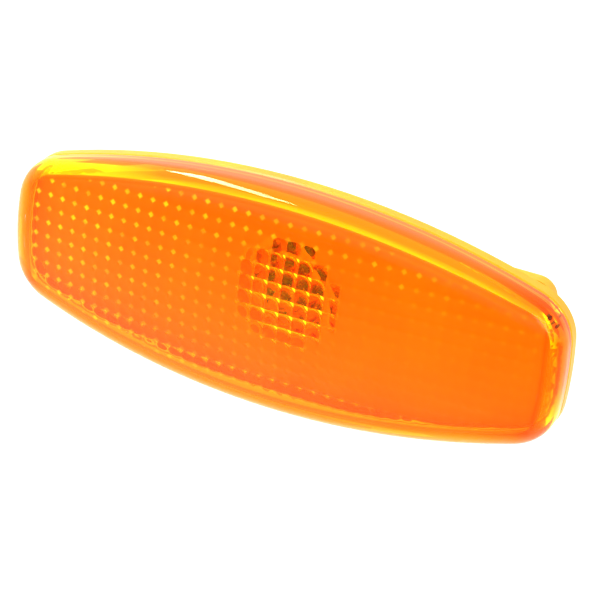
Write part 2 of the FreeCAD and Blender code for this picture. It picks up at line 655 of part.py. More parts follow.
def make_holder():
    """Twist-lock holder: nose with three lugs, flange, finger grips and plug socket."""
    body = new_body("BulbHolder")
    nose_radius = "(Sizes.mouth_radius - Sizes.holder_clearance)"
    nose = cross_sketch(body, "Nose", NOSE)
    add_circle(nose, nose_radius)
    add_pad(body, nose, f"{NOSE} - {FLANGE_BACK}", to_front=False)
    flange = cross_sketch(body, "Flange", FLANGE_FRONT)
    add_circle(flange, "Sizes.flange_radius")
    add_pad(body, flange, "Sizes.flange_thickness", to_front=False)
    round_edges(body, "FlangeBack", "Sizes.flange_bevel",
                lambda edge: in_plane(edge, FLANGE_BACK) and edge.Length > 2 * edge.BoundBox.XLength,
                kind="Chamfer")
    lug = cross_sketch(body, "Lug", LUG_BACK)
    half_lug = "(Sizes.notch_width / 2 - Sizes.holder_clearance)"
    add_rectangle(lug, f"-{half_lug}", half_lug, "Sizes.holder_clearance - Sizes.well_radius",
                  f"-{nose_radius} / 2")
    first_lug = add_pad(body, lug, "Sizes.lug_thickness")
    add_polar(body, first_lug, "Lugs", 3)

    # Socket for the harness plug, with a latch ramp on top and a finger grip each side
    half_width = "Sizes.socket_width / 2"
    half_height = "Sizes.socket_height / 2"
    socket = cross_sketch(body, "Socket", FLANGE_BACK)
    add_rounded_rectangle(socket, f"-{half_width}", half_width, f"-{half_height}", half_height,
                          "Sizes.socket_corner")
    add_pad(body, socket, "Sizes.socket_length", to_front=False)
    plug = cross_sketch(body, "PlugSpace", SOCKET_END)
    inner_width = f"({half_width} - Sizes.socket_wall)"
    inner_height = f"({half_height} - Sizes.socket_wall)"
    add_rectangle(plug, f"-{inner_width}", inner_width, f"-{inner_height}", inner_height)
    add_pocket(body, plug, "Sizes.plug_depth", to_front=True)
    latch = new_sketch(body, "Latch", "YZ_Plane")
    ramp_end = f"-({SOCKET_END}) - Sizes.socket_wall"
    add_polygon(latch, [
        (f"{ramp_end} - Sizes.latch_length", f"{half_height} - Sizes.socket_wall / 2"),
        (ramp_end, f"{half_height} - Sizes.socket_wall / 2"),
        (ramp_end, half_height),
        (f"{ramp_end} - Sizes.latch_length", f"{half_height} + Sizes.latch_height"),
    ])
    add_pad(body, latch, "Sizes.latch_width", both_ways=True)
    grips = cross_sketch(body, "Grips", FLANGE_BACK)
    for sign in ("-", ""):
        middle = f"{sign}Sizes.grip_place"
        add_rectangle(grips, f"{middle} - Sizes.grip_wall / 2", f"{middle} + Sizes.grip_wall / 2",
                      "-Sizes.grip_width / 2", "Sizes.grip_width / 2")
    add_pad(body, grips, "Sizes.grip_length", to_front=False)

    # Space for the bulb's base, and a chamber and a slot for each contact
    neck = cross_sketch(body, "NeckSpace", NOSE)
    add_circle(neck, "Sizes.bulb_radius + Sizes.bulb_clearance")
    add_pocket(body, neck, f"{NOSE} - {WEDGE_TOP}")
    wedge = cross_sketch(body, "WedgeSpace", NOSE)
    half_slot = "(Sizes.bulb_radius + Sizes.bulb_clearance)"
    half_gap = f"({WIRE_LINE} + Sizes.wire_radius)"
    add_rectangle(wedge, f"-{half_slot}", half_slot, f"-{half_gap}", half_gap)
    add_pocket(body, wedge, f"{NOSE} - {SLOT_FLOOR}")
    chambers = cross_sketch(body, "ContactChambers", NOSE)
    slots = cross_sketch(body, "ContactSlots", SLOT_FLOOR)
    half_contact = "Sizes.contact_width / 2"
    for sign in ("-", ""):
        middle = f"{sign}Sizes.contact_place"
        upward = "" if sign else "-"
        levels = ["Sizes.wire_radius", f"({CONTACT_LINE} + Sizes.contact_sheet + Sizes.contact_flare "
                  "+ Sizes.chamber_clearance)"]
        strip = [f"({CONTACT_LINE} + Sizes.contact_bow - Sizes.contact_clearance)",
                 f"({CONTACT_LINE} + Sizes.contact_bow + Sizes.contact_sheet + Sizes.contact_clearance)"]
        room = f"({half_contact} + Sizes.chamber_clearance)"
        snug = f"({half_contact} + Sizes.contact_clearance)"
        add_rectangle(chambers, f"{middle} - {room}", f"{middle} + {room}",
                      f"{upward}{levels[0]}", f"{upward}{levels[1]}")
        add_rectangle(slots, f"{middle} - {snug}", f"{middle} + {snug}",
                      f"{upward}{strip[0]}", f"{upward}{strip[1]}")
    add_pocket(body, chambers, f"{NOSE} - {SLOT_FLOOR}")
    add_pocket(body, slots, f"{SLOT_FLOOR} - {SOCKET_FLOOR}")
    return body


def make_seal():
    """Rubber ring between the housing's well and the holder's flange."""
    body = new_body("HolderSeal")
    ring = cross_sketch(body, "SealRing", WELL_END)
    inner = "(Sizes.mouth_radius + Sizes.holder_clearance)"
    add_circle(ring, inner)
    add_circle(ring, f"{inner} + Sizes.seal_width")
    add_pad(body, ring, "Sizes.seal_thickness", to_front=False)
    round_edges(body, "SealBevel", "Sizes.seal_bevel",
                lambda edge: edge.BoundBox.XLength > 2 * number(inner) + number("Sizes.seal_width")
                and edge.BoundBox.YLength < 1e-4, kind="Chamfer")
    return body


def make_contact(name, sign, upward):
    """Brass strip: flared end, bow that presses on the bulb's wire, straight blade in the socket."""
    body = new_body(name)
    outline = new_sketch(body, f"{name}Strip", "YZ_Plane", f"{sign}Sizes.contact_place")
    flat = f"({CONTACT_LINE} + Sizes.contact_bow)"
    flare = f"({CONTACT_LINE} + Sizes.contact_flare)"
    press = f"(-({WEDGE_TOP}) + Sizes.wedge_length / 2)"
    run = [
        (f"-({WEDGE_TOP}) + Sizes.chamber_clearance", flare),
        (press, CONTACT_LINE),
        (f"-({SLOT_FLOOR}) - Sizes.contact_bow", flat),
        (f"-({SOCKET_FLOOR}) + Sizes.blade_length", flat),
    ]
    near = [(along, f"{upward}{level}") for along, level in run]
    far = [(along, f"{upward}({level} + Sizes.contact_sheet)") for along, level in reversed(run)]
    add_polygon(outline, near + far)
    add_pad(body, outline, "Sizes.contact_width", both_ways=True)
    return body


# Bulb


def add_bulb_profile(sketch, radius, tip, end):
    """Half section of a round-ended bulb: dome from the axis, straight side, flat end."""
    level = f"{tip} - {radius}"
    tip_y = -number(tip)
    turn = Vector(0, -number(level), 0)
    end_y = -number(end)
    r = number(radius)
    arc = sketch.addGeometry(Part.ArcOfCircle(Part.Circle(turn, Vector(0, 0, 1), r), -math.pi / 2, 0))
    side = sketch.addGeometry(Part.LineSegment(Vector(r, turn.y, 0), Vector(r, end_y, 0)))
    back = sketch.addGeometry(Part.LineSegment(Vector(r, end_y, 0), Vector(0, end_y, 0)))
    axis = sketch.addGeometry(Part.LineSegment(Vector(0, end_y, 0), Vector(0, tip_y, 0)))
    chain = (arc, side, back, axis)
    for current, following in zip(chain, chain[1:] + chain[:1]):
        sketch.addConstraint(Sketcher.Constraint("Coincident", current, 2, following, 1))
    place(sketch, arc, 3, "0", f"-({level})")
    bind(sketch, radius, "Radius", arc)
    sketch.addConstraint(Sketcher.Constraint("PointOnObject", arc, 1, -2))
    sketch.addConstraint(Sketcher.Constraint("Horizontal", arc, 3, arc, 2))
    sketch.addConstraint(Sketcher.Constraint("Vertical", side))
    sketch.addConstraint(Sketcher.Constraint("Horizontal", back))
    place(sketch, axis, 1, "0", f"-({end})")


def turn_profile(body, sketch, kind):
    """Turns a half section round the bulb's axis."""
    feature = body.newObject(f"PartDesign::{kind}", f"{sketch.Name}Turn")
    feature.Profile = sketch
    feature.ReferenceAxis = (origin_item(body, "Y_Axis"), [""])
    feature.Angle = 360
    return finish(feature, body)


def bulb_form():
    """Blown glass: round-ended tube pinched flat to a wedge, hollow as far as the pinch."""
    body = new_body("BulbForm")
    outside = new_sketch(body, "BulbOutside", "XY_Plane")
    add_bulb_profile(outside, "Sizes.bulb_radius", "Sizes.bulb_tip", WEDGE_END)
    turn_profile(body, outside, "Revolution")
    for name, sign in (("PinchUpper", ""), ("PinchLower", "-")):
        pinch = new_sketch(body, name, "YZ_Plane")
        flat = "Sizes.wedge_thickness / 2"
        past = f"-({WEDGE_END}) + Sizes.bulb_clearance"
        clear = "Sizes.bulb_radius + Sizes.bulb_clearance"
        add_polygon(pinch, [
            (f"-({NECK})", f"{sign}({clear})"),
            (f"-({NECK})", f"{sign}Sizes.bulb_radius"),
            (f"-({WEDGE_TOP})", f"{sign}{flat}"),
            (past, f"{sign}{flat}"),
            (past, f"{sign}({clear})"),
        ])
        add_pocket(body, pinch, "2 * Sizes.bulb_radius + Sizes.bulb_clearance", both_ways=True)
    inside = new_sketch(body, "BulbInside", "XY_Plane")
    add_bulb_profile(inside, "(Sizes.bulb_radius - Sizes.glass_wall)",
                     "(Sizes.bulb_tip - Sizes.glass_wall)", f"({NECK} + Sizes.glass_wall)")
    turn_profile(body, inside, "Groove")
    return body


def make_lead(name, sign, upward):
    """Wire from the filament down through the wedge, folded up against the wedge's flat side."""
    body = new_body(name)
    top = f"({FILAMENT} + 2 * Sizes.wire_radius)"
    side = f"{sign}Sizes.contact_place"
    fold_line = f"{upward}{WIRE_LINE}"
    straight = cross_sketch(body, f"{name}Straight", top)
    add_circle(straight, "Sizes.wire_radius", side, "0")
    add_pad(body, straight, f"{top} - {WEDGE_END}", to_front=False)
    bend = cross_sketch(body, f"{name}Bend", WEDGE_END)
    add_circle(bend, "Sizes.wire_radius", side, "0")
    past_side = f"{side} + Sizes.contact_width"
    pivot_ends = [Vector(number(x), number(f"{fold_line} / 2"), 0) for x in (side, past_side)]
    pivot = bend.addGeometry(Part.LineSegment(*pivot_ends), True)
    place(bend, pivot, 1, side, f"{fold_line} / 2")
    place(bend, pivot, 2, past_side, f"{fold_line} / 2")
    turn = body.newObject("PartDesign::Revolution", f"{name}Turn")
    turn.Profile = bend
    turn.ReferenceAxis = (bend, ["Axis0"])
    turn.Angle = 180
    turn.Reversed = number(fold_line) < 0
    finish(turn, body)
    folded = cross_sketch(body, f"{name}Folded", WEDGE_END)
    add_circle(folded, "Sizes.wire_radius", side, fold_line)
    add_pad(body, folded, "Sizes.wire_fold")
    return body


def make_filament():
    """Filament, between the two wires."""
    rod = doc.addObject("Part::Cylinder", "BulbFilament")
    rod.setExpression("Radius", "Sizes.filament_radius")
    rod.setExpression("Height", "2 * (Sizes.contact_place - Sizes.wire_radius)")
    rod.Placement = FreeCAD.Placement(Vector(0, 0, 0), FreeCAD.Rotation(Vector(0, 1, 0), 90))
    rod.setExpression("Placement.Base.x", "Sizes.wire_radius - Sizes.contact_place")
    rod.setExpression("Placement.Base.y", f"-({FILAMENT})")
    doc.recompute()
    return rod


def make_glass(lead_left, lead_right):
    """Bulb glass, sealed round both wires."""
    first = doc.addObject("Part::Cut", "GlassLeft")
    first.Base = bulb_form()
    first.Tool = lead_left
    glass = doc.addObject("Part::Cut", "BulbGlass")
    glass.Base = first
    glass.Tool = lead_right
    doc.recompute()
    return glass


# The whole lamp

lead_left = make_lead("BulbLeadLeft", "-", "")
lead_right = make_lead("BulbLeadRight", "", "-")
nodes = {
    "lens": make_lens(),
    "housing": make_housing(),
    "fender_gasket": make_gasket(),
    "bulb_holder": make_holder(),
    "holder_seal": make_seal(),
    "contact_upper": make_contact("ContactUpper", "-", ""),
    "contact_lower": make_contact("ContactLower", "", "-"),
    "bulb_glass": make_glass(lead_left, lead_right),
    "bulb_filament": make_filament(),
    "bulb_lead_left": lead_left,
    "bulb_lead_right": lead_right,
}
for label, node in nodes.items():
    node.Label = label
doc.recompute()

# Nothing is written unless every object is sound
for item in doc.Objects:
    if {"Invalid", "Error"} & set(item.State):
        raise RuntimeError(f"{item.Name} failed: {item.State}")
for label, node in nodes.items():
    if node.Shape.isNull() or not node.Shape.isValid() or not node.Shape.Solids:
        raise RuntimeError(f"{label} has no valid solid")

os.makedirs("parts", exist_ok=True)
for node in nodes.values():
    node.Shape.exportStep(f"parts/{node.Label}.step")
    print(node.Label, len(node.Shape.Solids), round(node.Shape.Volume, 2))
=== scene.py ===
"""Looks of the side marker lamp: amber lens with pillow optics, moulded housing, bulb and holder."""
from __future__ import annotations

import json
import logging
import math
from abc import ABC, abstractmethod
from dataclasses import dataclass, field
from enum import Enum
from typing import Any

import bpy
import numpy as np
from mathutils import Matrix, Vector

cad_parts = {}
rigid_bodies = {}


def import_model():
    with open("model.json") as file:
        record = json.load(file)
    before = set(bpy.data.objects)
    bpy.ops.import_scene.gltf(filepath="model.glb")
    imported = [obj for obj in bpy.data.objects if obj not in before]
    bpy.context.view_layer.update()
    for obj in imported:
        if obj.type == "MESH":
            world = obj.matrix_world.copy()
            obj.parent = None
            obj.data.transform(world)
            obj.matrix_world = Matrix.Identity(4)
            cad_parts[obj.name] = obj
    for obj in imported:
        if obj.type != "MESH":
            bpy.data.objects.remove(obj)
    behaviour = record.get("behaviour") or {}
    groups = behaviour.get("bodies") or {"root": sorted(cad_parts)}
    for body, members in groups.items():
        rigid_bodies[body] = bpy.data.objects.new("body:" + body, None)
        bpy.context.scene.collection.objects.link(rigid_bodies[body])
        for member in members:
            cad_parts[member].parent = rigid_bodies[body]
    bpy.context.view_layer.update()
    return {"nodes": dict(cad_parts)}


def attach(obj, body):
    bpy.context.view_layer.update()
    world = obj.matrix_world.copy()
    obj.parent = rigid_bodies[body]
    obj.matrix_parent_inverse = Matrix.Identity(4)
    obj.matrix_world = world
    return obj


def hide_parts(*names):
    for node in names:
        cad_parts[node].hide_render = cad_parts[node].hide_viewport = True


log = logging.getLogger("side_marker_lamp")

MM = 0.001
Colour = tuple[float, float, float]
Range = tuple[float, float]
Array = np.ndarray

BLACK: Colour = (0.0, 0.0, 0.0)
WHITE: Colour = (1.0, 1.0, 1.0)


class Operation(Enum):
    """Math node operations that the socket wrapper uses."""

    ADD = "ADD"
    SUBTRACT = "SUBTRACT"
    MULTIPLY = "MULTIPLY"
    DIVIDE = "DIVIDE"
    ABSOLUTE = "ABSOLUTE"
    MINIMUM = "MINIMUM"
    FRACTION = "FRACT"


class Axis(Enum):
    """Components of a place on a piece."""

    X = 0
    Y = 1
    Z = 2


@dataclass(frozen=True)
class Socket:
    """One output of a node, with arithmetic that adds Math nodes.

    Args:
        graph: The graph that the output belongs to.
        output: The node output.
    """

    graph: Graph
    output: bpy.types.NodeSocket

    def _math(self, operation: Operation, *values: Socket | float) -> Socket:
        """Output of a new Math node that takes these values in order."""
        inputs = dict(enumerate(values))
        return self.graph.node("ShaderNodeMath", inputs, operation=operation.value)

    def __add__(self, other: Socket | float) -> Socket:
        """Sum of this and another value."""
        return self._math(Operation.ADD, self, other)

    def __radd__(self, other: float) -> Socket:
        """Sum of a number and this."""
        return self._math(Operation.ADD, other, self)

    def __sub__(self, other: Socket | float) -> Socket:
        """This less another value."""
        return self._math(Operation.SUBTRACT, self, other)

    def __rsub__(self, other: float) -> Socket:
        """A number less this."""
        return self._math(Operation.SUBTRACT, other, self)

    def __mul__(self, other: Socket | float) -> Socket:
        """Product of this and another value."""
        return self._math(Operation.MULTIPLY, self, other)

    def __rmul__(self, other: float) -> Socket:
        """Product of a number and this."""
        return self._math(Operation.MULTIPLY, other, self)

    def __truediv__(self, other: Socket | float) -> Socket:
        """This over another value."""
        return self._math(Operation.DIVIDE, self, other)

    def __rtruediv__(self, other: float) -> Socket:
        """A number over this."""
        return self._math(Operation.DIVIDE, other, self)

    def __abs__(self) -> Socket:
        """This without its sign."""
        return self._math(Operation.ABSOLUTE, self)

    def at_most(self, other: Socket | float) -> Socket:
        """The lesser of this and another value."""
        return self._math(Operation.MINIMUM, self, other)


class Graph:
    """Node graph of one material."""

    def __init__(self, name: str) -> None:
        """Starts an empty material.

        Args:
            name: The material's name.
        """
        self.material = bpy.data.materials.new(name)
        self.material.use_nodes = True
        self.tree = self.material.node_tree
        self.tree.nodes.clear()
        self.output = self.tree.nodes.new("ShaderNodeOutputMaterial")

    def node(self, kind: str, inputs: dict[Any, Any] | None = None, outlet: Any = 0, **options: Any) -> Socket:
        """Adds a node of any kind.

        Args:
            kind: Blender's name of the node type.
            inputs: Values or sockets by input name or number.
            outlet: Name or number of the wanted output.
            options: Properties of the node.

        Returns:
            The wanted output.
        """
        made = self.tree.nodes.new(kind)
        for name, value in options.items():
            setattr(made, name, value)
        for name, value in (inputs or {}).items():
            if isinstance(value, Socket):
                self.tree.links.new(value.output, made.inputs[name])
            else:
                made.inputs[name].default_value = value
        return Socket(self, made.outputs[outlet])

    def place(self) -> Socket:
        """Place on the object, in metres."""
        return self.node("ShaderNodeTexCoord", outlet="Object")

    def part_of(self, axis: Axis) -> Socket:
        """One component of the place on the object."""
        return self.node("ShaderNodeSeparateXYZ", {0: self.place()}, outlet=axis.value)

    def noise(self, scale: float, detail: float = 3.0, distortion: float = 0.0) -> Socket:
        """Noise of about 0 to 1 in the object's own space, by its cells to the metre, octaves and bend."""
        inputs = {"Vector": self.place(), "Scale": scale, "Detail": detail, "Distortion": distortion}
        return self.node("ShaderNodeTexNoise", inputs, outlet="Fac")

    def between(self, value: Socket, low: float, high: float, start: float, end: float) -> Socket:
        """Value carried in a straight line, and clamped: low becomes start, and high becomes end."""
        inputs = {"Value": value, "From Min": low, "From Max": high, "To Min": start, "To Max": end}
        return self.node("ShaderNodeMapRange", inputs)

    def blend(self, amount: Socket, first: Colour | Socket, second: Colour | Socket) -> Socket:
        """Colour between two others.

        Args:
            amount: 0 for the first, 1 for the second.
            first: Linear colour.
            second: Linear colour.

        Returns:
            The colour output of a Mix node.
        """
        colours = [part if isinstance(part, Socket) else (*part, 1.0) for part in (first, second)]
        inputs = {0: amount, 6: colours[0], 7: colours[1]}
        return self.node("ShaderNodeMix", inputs, outlet=2, data_type="RGBA")

    def fraction(self, value: Socket) -> Socket:
        """Part of a value after the point, 0 to 1."""
        return self.node("ShaderNodeMath", {0: value}, operation=Operation.FRACTION.value)

    def bump(self, height: Socket, strength: float, distance: float) -> Socket:
        """Normal of a slightly uneven surface, where a step of one in the pattern is a distance in metres."""
        inputs = {"Height": height, "Strength": strength, "Distance": distance}
        return self.node("ShaderNodeBump", inputs)

    def shade(self, **inputs: Any) -> None:
        """Ends the graph in a Principled shader.

        Args:
            inputs: Its inputs, with underscores in place of spaces.
        """
        named = {name.replace("_", " "): value for name, value in inputs.items()}
        shader = self.node("ShaderNodeBsdfPrincipled", named)
        self.tree.links.new(shader.output, self.output.inputs["Surface"])

    def fill(self, colour: Colour, density: float) -> None:
        """Gives the material an absorbing inside: the colour that passes, and how fast the rest is lost."""
        inside = self.node("ShaderNodeVolumeAbsorption", {"Color": (*colour, 1.0), "Density": density})
        self.tree.links.new(inside.output, self.output.inputs["Volume"])


class Finish(ABC):
    """Look of one material."""

    name: str
    slot: str

    @abstractmethod
    def draw(self, graph: Graph) -> None:
        """Adds the nodes of the look to an empty graph."""

    def put_on(self, piece: bpy.types.Object) -> None:
        """Gives a piece this finish.

        Args:
            piece: The object to dress.
        """
        made = bpy.data.materials.get(self.name)
        if made is None:
            graph = Graph(self.name)
            self.draw(graph)
            made = graph.material
        piece.data.materials.clear()
        piece.data.materials.append(made)


@dataclass(frozen=True)
class ClearAmber(Finish):
    """Polished amber acrylic: thin walls are yellow and thick ones orange.

    Args:
        lens: The lens that is dressed, for its measures.
        name: The material's name.
        slot: The record's slot; not used.
        passes: Colour that the plastic lets through.
        density: How fast the other colours are lost.
        index: Refractive index of acrylic.
        dull: Highest roughness, where the surface has been wiped.
        tint: Tint of the pillows' faces.
        glint: Painted glint: a lighter tint of the valleys' crossings, where they catch the light.
        gleam: Tint of reflections.
        spark: Painted glints, given off as emission: light that the crossings catch, most of it to the left and at
            the top.
        rim: Tint of the lower outer edge, painted paler than the upper one as painted light.
        side: Tint of the side walls and the upper outer edge, painted a deeper red as painted shade.
        edge_glow: Painted glow, given off as emission: light that the clear edge gathers at the bottom and the left
            end.
        top_glow: The same painted glow at the top.
        chip: Tint of the chips.
        chips: X, Z and radius of each chip in the shoulder by the hook.
        gloss: Highest weight of the white gloss on the upper shoulder.
        skin: Depths under the crown between which the front face ends and the inner face begins.
        border: Insets between which the side wall ends and the pillows begin.
        edge_zone: Insets between which the outer edge ends.
        glow_zone: Insets between which the glow ends.
        gloss_zone: Insets between which the gloss ends.
        crest_zone: Insets from the top between which the crossings of the upper rows lose their light.
        crossing: Sums of the distances from a pillow's middle, in pitches, between which a crossing begins.
        low_zone: Heights, slanted along the lamp, between which the lower half ends.
        left_zone: X between which the crossings lose their light.
        top_zone: Heights, slanted along the lamp, between which they gain it.
        crest_end: X between which the upper rows lose theirs.
        hook_zone: X between which the glow of the edge fades.
    """

    lens: Lens
    name: str = "clear_amber"
    slot: str = "lens_amber"
    passes: Colour = (0.999, 0.93, 0.02)
    density: float = 650.0
    index: float = 1.49
    dull: float = 0.05
    tint: Colour = (1.0, 0.5, 0.05)
    glint: Colour = (1.0, 0.95, 0.7)
    gleam: Colour = (1.0, 0.32, 0.02)
    spark: Colour = (0.9, 0.58, 0.03)
    rim: Colour = (1.0, 0.6, 0.08)
    side: Colour = (1.0, 0.13, 0.01)
    edge_glow: Colour = (0.3, 0.16, 0.0)
    top_glow: Colour = (0.27, 0.14, 0.0)
    gloss: float = 0.22
    skin: Range = (1.2 * MM, 1.6 * MM)
    border: Range = (3.4 * MM, 3.8 * MM)
    edge_zone: Range = (1.2 * MM, 2.2 * MM)
    glow_zone: Range = (2.0 * MM, 3.4 * MM)
    gloss_zone: Range = (3.4 * MM, 4.6 * MM)
    crest_zone: Range = (7.5 * MM, 11.0 * MM)
    crossing: Range = (0.74, 0.84)
    low_zone: Range = (2.0 * MM, 12.0 * MM)
    left_zone: Range = (-28.0 * MM, 20.0 * MM)
    top_zone: Range = (-12.0 * MM, 12.0 * MM)
    crest_end: Range = (22.0 * MM, 36.0 * MM)
    hook_zone: Range = (36.0 * MM, 46.0 * MM)
    chip: Colour = (0.06, 0.03, 0.03)
    chips: tuple[tuple[float, float, float], ...] = (
        (46.5 * MM, 10.95 * MM, 0.42 * MM),
        (47.8 * MM, 9.8 * MM, 0.36 * MM),
    )

    def past(self, graph: Graph, insets: tuple[Socket, Socket], zone: Range) -> Socket:
        """Mask that goes from 0 to 1 over a zone of insets, in from the long sides and the ends."""
        from_sides, from_ends = (graph.between(inset, *zone, 0.0, 1.0) for inset in insets)
        return from_sides * from_ends

    def draw(self, graph: Graph) -> None:
        """Adds glass over an amber inside.

        Args:
            graph: The empty graph of the material.
        """
        lens, outline = self.lens, self.lens.outline
        x, y, z = (graph.part_of(axis) for axis in Axis)
        wiped = graph.noise(90.0, 4.0)
        uneven = graph.between(graph.noise(380.0, 2.0), 0.35, 0.62, 0.25, 1.0)

        # where a place lies: under the crown, and in from the long sides and the ends
        depth = y - (x * x / (2 * lens.crown_length_radius) + z * z / (2 * lens.crown_height_radius) + lens.front)
        above = outline.height / 2 - x * x / (2 * outline.long_radius) - abs(z)
        beside = outline.length / 2 - z * z / (2 * outline.end_radius) - abs(x)
        insets = (above, beside)
        inside = graph.between(depth, *self.skin, 0.0, 1.0)
        window = self.past(graph, insets, self.border)
        core = self.past(graph, insets, self.edge_zone)
        outer = 1.0 - core
        low = graph.between(z + x * 0.25, *self.low_zone, 1.0, 0.0)

        # painted glints, given off as emission at the crossings of the pillows
        across = abs(graph.fraction(x / lens.pitch) - 0.5)
        upward = abs(graph.fraction(z / lens.pitch) - 0.5)
        corner = graph.between(across + upward, *self.crossing, 0.0, 1.0)
        left = graph.between(x + wiped * 0.02, *self.left_zone, 1.0, 0.08)
        top = graph.between(z - x * 0.2, *self.top_zone, 0.3, 1.0)
        crest = graph.between(above, *self.crest_zone, 0.4, 0.0) * graph.between(z, 0.0, 4.0 * MM, 0.0, 1.0)
        crest = crest * graph.between(x, *self.crest_end, 1.0, 0.2)
        painted_glints = inside * window * corner * (left * top + crest).at_most(1.0) * uneven

        # chips, painted glow of the edge given off as emission, and gloss of the shoulder
        chipped = sum(
            graph.between((x - a) * (x - a) + (z - b) * (z - b), 0.4 * size**2, size**2, 1.0, 0.0)
            for a, b, size in self.chips
        )
        flank = 1.0 - self.past(graph, insets, self.glow_zone)
        hooked = graph.between(x, *self.hook_zone, 1.0, 0.4)
        glow = graph.blend(low, self.top_glow, self.edge_glow)
        # painted glow: the edge of the shoulder glows, fading towards the hook
        edge = graph.blend(flank * (1.0 - chipped) * hooked, BLACK, glow)
        polish = (1.0 - inside * core) * (1.0 - low) * graph.between(above, *self.gloss_zone, self.gloss, 0.0)

        # painted glints: the crossings, most of all to the left, get the lighter glint tint
        optics = graph.blend(corner * left, self.tint, self.glint)
        # painted light and shade: the lower outer edge is paler and the upper edge and side walls deeper red
        optics = graph.blend(window, graph.blend(outer * low, self.side, self.rim), optics)
        inked = 1.0 - (1.0 - inside) * (1.0 - outer * (1.0 - low))
        graph.shade(
            Base_Color=graph.blend(chipped, graph.blend(inked, WHITE, optics), self.chip),
            Roughness=graph.between(wiped, 0.35, 0.75, 0.01, self.dull),
            IOR=self.index,
            Specular_Tint=(*self.gleam, 1.0),
            Coat_Weight=polish,
            # emission carries the painted glints at the crossings and the painted glow of the edge
            Emission_Color=graph.blend(painted_glints, edge, self.spark),
            Emission_Strength=1.0,
            Transmission_Weight=1.0,
        )
        graph.fill(self.passes, self.density)


@dataclass(frozen=True)
class MouldedAmber(Finish):
    """Amber plastic of the housing, as it leaves the mould.

    Args:
        name: The material's name.
        slot: The record's slot; not used.
        deep: Colour of the thicker patches.
        bright: Colour of the thinner patches.
        glow: Share of the light that spreads inside the wall.
        through: Painted glow, given off as emission, for the daylight that comes through the wall from behind.
        lit_well: The same painted glow inside the thin bulb well.
        well_radius: Radius that holds the well's inner face.
    """

    name: str = "moulded_amber"
    slot: str = "housing_amber"
    deep: Colour = (0.95, 0.26, 0.003)
    bright: Colour = (0.98, 0.32, 0.005)
    glow: float = 0.35
    through: Colour = (0.14, 0.05, 0.0)
    lit_well: Colour = (0.5, 0.1, 0.0)
    well_radius: float = 8.7 * MM

    def draw(self, graph: Graph) -> None:
        """Adds faint flow marks and a satin shine.

        Args:
            graph: The empty graph of the material.
        """
        flow = graph.noise(60.0, 3.0, 0.6)
        grain = graph.noise(2600.0, 2.0)
        x, z = graph.part_of(Axis.X), graph.part_of(Axis.Z)
        near = (x * x + z * z) / self.well_radius**2
        well = graph.between(near, 0.97, 1.03, 1.0, 0.0)
        graph.shade(
            Base_Color=graph.blend(graph.between(flow, 0.35, 0.65, 0.0, 1.0), self.deep, self.bright),
            Roughness=graph.between(flow, 0.3, 0.7, 0.26, 0.38),
            IOR=1.53,
            Specular_IOR_Level=0.2,
            Subsurface_Weight=self.glow,
            Subsurface_Radius=(1.0, 0.5, 0.1),
            Subsurface_Scale=0.003,
            # painted light: the housing glows by emission, more strongly inside the bulb well
            Emission_Color=graph.blend(well, self.through, self.lit_well),
            Emission_Strength=1.0,
            Normal=graph.bump(grain, 0.15, 0.00004),
        )


@dataclass(frozen=True)
class Foam(Finish):
    """Closed-cell foam of the gasket.

    Args:
        name: The material's name.
        slot: The record's slot; not used.
        dark: Colour in the pores.
        light: Colour of the skin.
    """

    name: str = "gasket_foam"
    slot: str = "gasket_foam"
    dark: Colour = (0.012, 0.012, 0.013)
    light: Colour = (0.045, 0.045, 0.05)

    def draw(self, graph: Graph) -> None:
        """Adds small round pores.

        Args:
            graph: The empty graph of the material.
        """
        inputs = {"Vector": graph.place(), "Scale": 2200.0}
        pores = graph.node("ShaderNodeTexVoronoi", inputs, outlet="Distance")
        graph.shade(
            Base_Color=graph.blend(graph.between(pores, 0.1, 0.6, 0.0, 1.0), self.dark, self.light),
            Roughness=graph.between(pores, 0.0, 0.7, 0.95, 0.8),
            Normal=graph.bump(pores, 0.5, 0.00015),
        )


@dataclass(frozen=True)
class FilledNylon(Finish):
    """Satin black nylon of the bulb holder.

    Args:
        name: The material's name.
        slot: The record's slot; not used.
        dark: Colour of the nylon.
        light: Colour of the fibres near the surface.
        amber_lit_nose: Colour of the nose, a warm red-orange painted on for the amber light that falls on it inside
            the lamp.
        nose_end: Depths between which the nose ends.
    """

    name: str = "black_nylon"
    slot: str = "holder_black"
    dark: Colour = (0.025, 0.024, 0.023)
    light: Colour = (0.055, 0.053, 0.05)
    amber_lit_nose: Colour = (0.8, 0.18, 0.06)
    nose_end: Range = (12.5 * MM, 14.5 * MM)

    def draw(self, graph: Graph) -> None:
        """Adds a fine fibre grain.

        Args:
            graph: The empty graph of the material.
        """
        fibre = graph.noise(1500.0, 4.0, 1.2)
        nylon = graph.blend(graph.between(fibre, 0.35, 0.7, 0.0, 1.0), self.dark, self.light)
        # painted light: the nose gets a warm red-orange for the amber light that falls on it
        nose_lit_share = graph.between(graph.part_of(Axis.Y) + fibre * MM, *self.nose_end, 1.0, 0.0)
        graph.shade(
            Base_Color=graph.blend(nose_lit_share, nylon, self.amber_lit_nose),
            Roughness=graph.between(fibre, 0.3, 0.7, 0.36, 0.55),
            IOR=1.53,
            Normal=graph.bump(fibre, 0.2, 0.00005),
        )


